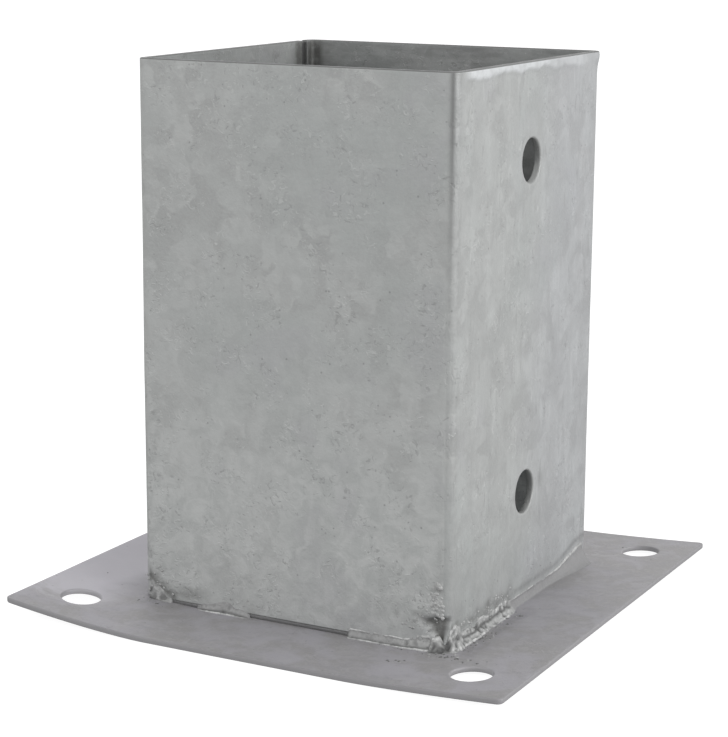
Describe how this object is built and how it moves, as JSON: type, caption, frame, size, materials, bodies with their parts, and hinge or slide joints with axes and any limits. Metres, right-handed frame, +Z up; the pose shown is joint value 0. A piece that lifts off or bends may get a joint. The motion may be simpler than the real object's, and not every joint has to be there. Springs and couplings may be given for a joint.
{
  "type": "bolt-down post base",
  "caption": "Square sheet-steel sleeve, open at the top, stitch-welded on a flat square base plate with corner anchor holes; holds the foot of a timber post with cross bolts.",
  "frame": {"origin": "middle of the base plate's underside, where the part stands on the ground slab", "axes": "+Z up, out of the sleeve's open mouth; +X and -X out of the two walls with the cross holes; +Y and -Y out of the two plain walls, -Y on the side with the tack, the short and the long stitch weld"},
  "size_m": [0.15, 0.15, 0.1525],
  "materials": {
    "zinc_sheet": "hot-dip galvanised sheet, matte mottled grey zinc with a faint flake pattern",
    "zinc_plate": "hot-dip galvanised plate, dull stained grey zinc",
    "zinc_weld": "rough weld metal under hot-dip zinc, brighter on the ridges and dark in the pits"
  },
  "bodies": {
    "root": {"base_plate": "zinc_plate", "sleeve": "zinc_sheet", "weld_seam": "zinc_weld", "weld_front_tack": "zinc_weld", "weld_front_short": "zinc_weld", "weld_front_long": "zinc_weld", "weld_near_corner": "zinc_weld", "weld_right": "zinc_weld", "weld_back_short": "zinc_weld", "weld_back_long": "zinc_weld", "weld_left_short": "zinc_weld", "weld_left_long": "zinc_weld"}
  },
  "joints": []
}
